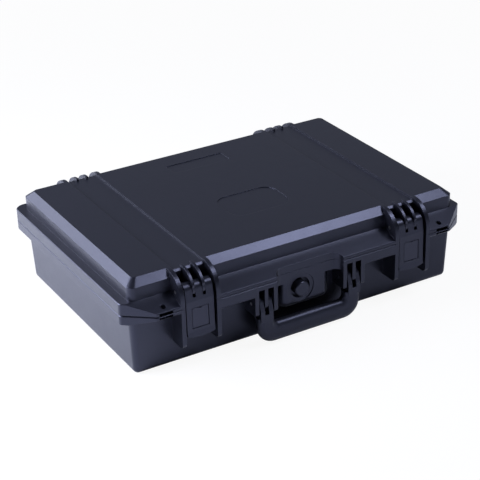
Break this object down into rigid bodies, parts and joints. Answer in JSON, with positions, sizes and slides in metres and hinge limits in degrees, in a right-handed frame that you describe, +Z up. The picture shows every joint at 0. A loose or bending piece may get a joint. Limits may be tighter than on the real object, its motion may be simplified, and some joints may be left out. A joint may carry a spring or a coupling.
{
  "type": "laptop hard case",
  "caption": "Moulded hard case for a laptop: hinged lid, hanging front latches with press buttons, folding carry handle, pressure valve and cut foam inside.",
  "frame": {"origin": "on the ground under the case, midway between the lid's side walls and midway between its front and back walls, on the middle skid rail's face", "axes": "+X along the case's width, to the right seen from the front; -Y out of the front, where the handle and latches are; +Z up"},
  "size_m": [0.494, 0.3557, 0.128],
  "materials": {
    "shell": "fine satin moulded texture",
    "lever": "satin moulded",
    "button": "satin moulded",
    "handle": "satin moulded",
    "grip": "soft matte overmould",
    "valve": "satin moulded",
    "membrane": "thin woven vent disc",
    "gasket": "soft closed-cell strip",
    "pin": "turned steel",
    "spring": "drawn wire",
    "foam": "open-cell charcoal foam"
  },
  "bodies": {
    "base": {"base_shell": "shell", "base_eye_left": "shell", "base_eye_right": "shell", "base_foam": "foam", "hinge_pin_left": "pin", "hinge_pin_right": "pin", "handle_pin_left": "pin", "handle_pin_right": "pin", "valve_body": "valve", "valve_cap": "valve", "valve_seal": "gasket", "valve_membrane": "membrane", "valve_nut": "valve"},
    "lid": {"lid_shell": "shell", "lid_eye_left": "shell", "lid_eye_right": "shell", "lid_foam": "foam", "lid_gasket": "gasket", "latch_left_pin": "pin", "latch_right_pin": "pin"},
    "latch_left_lever": {"latch_left": "lever"},
    "latch_left_press": {"latch_left_button": "button", "latch_left_spring": "spring"},
    "latch_right_lever": {"latch_right": "lever"},
    "latch_right_press": {"latch_right_button": "button", "latch_right_spring": "spring"},
    "handle": {"handle_bar": "handle", "handle_grip": "grip"}
  },
  "joints": [
    {"name": "lid_hinge", "type": "hinge", "parent": "base", "child": "lid", "pos_m": [0, 0.1645, 0.105], "axis": [-1, 0, 0], "range_deg": [0, 115]},
    {"name": "latch_left_pivot", "type": "hinge", "parent": "lid", "child": "latch_left_lever", "pos_m": [-0.1536, -0.1645, 0.105], "axis": [-1, 0, 0], "range_deg": [0, 90]},
    {"name": "latch_left_push", "type": "slide", "parent": "latch_left_lever", "child": "latch_left_press", "axis": [0, 1, 0], "range_m": [0, 0.0025], "stiffness_N_per_m": 400},
    {"name": "latch_right_pivot", "type": "hinge", "parent": "lid", "child": "latch_right_lever", "pos_m": [0.1536, -0.1645, 0.105], "axis": [-1, 0, 0], "range_deg": [0, 90]},
    {"name": "latch_right_push", "type": "slide", "parent": "latch_right_lever", "child": "latch_right_press", "axis": [0, 1, 0], "range_m": [0, 0.0025], "stiffness_N_per_m": 400},
    {"name": "handle_swing", "type": "hinge", "parent": "base", "child": "handle", "pos_m": [0, -0.168, 0.06], "axis": [-1, 0, 0], "range_deg": [0, 95]}
  ]
}
